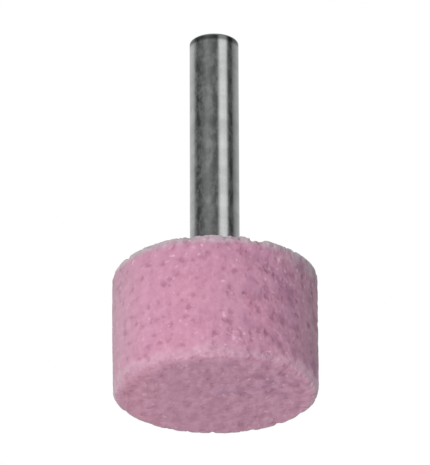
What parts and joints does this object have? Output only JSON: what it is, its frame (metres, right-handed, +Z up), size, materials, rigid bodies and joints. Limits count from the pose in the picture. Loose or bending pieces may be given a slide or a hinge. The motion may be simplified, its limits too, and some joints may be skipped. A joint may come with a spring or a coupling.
{
  "type": "mounted point",
  "caption": "Cylindrical pink vitrified abrasive head cemented on a plain round steel spindle, for grinding by hand or in a machine collet.",
  "frame": {"origin": "centre of the head's flat grinding face, which the point stands on", "axes": "+Z up along the common axis of head and spindle, out of the spindle's free end; the head's chipped rim faces -Y, a little towards +X"},
  "size_m": [0.0246, 0.0246, 0.0468],
  "materials": {
    "pink_abrasive": "matte",
    "ground_steel": "satin",
    "grey_cement": "matte"
  },
  "bodies": {
    "root": {"abrasive_head": "pink_abrasive", "spindle": "ground_steel", "bonding_cement": "grey_cement"}
  },
  "joints": []
}
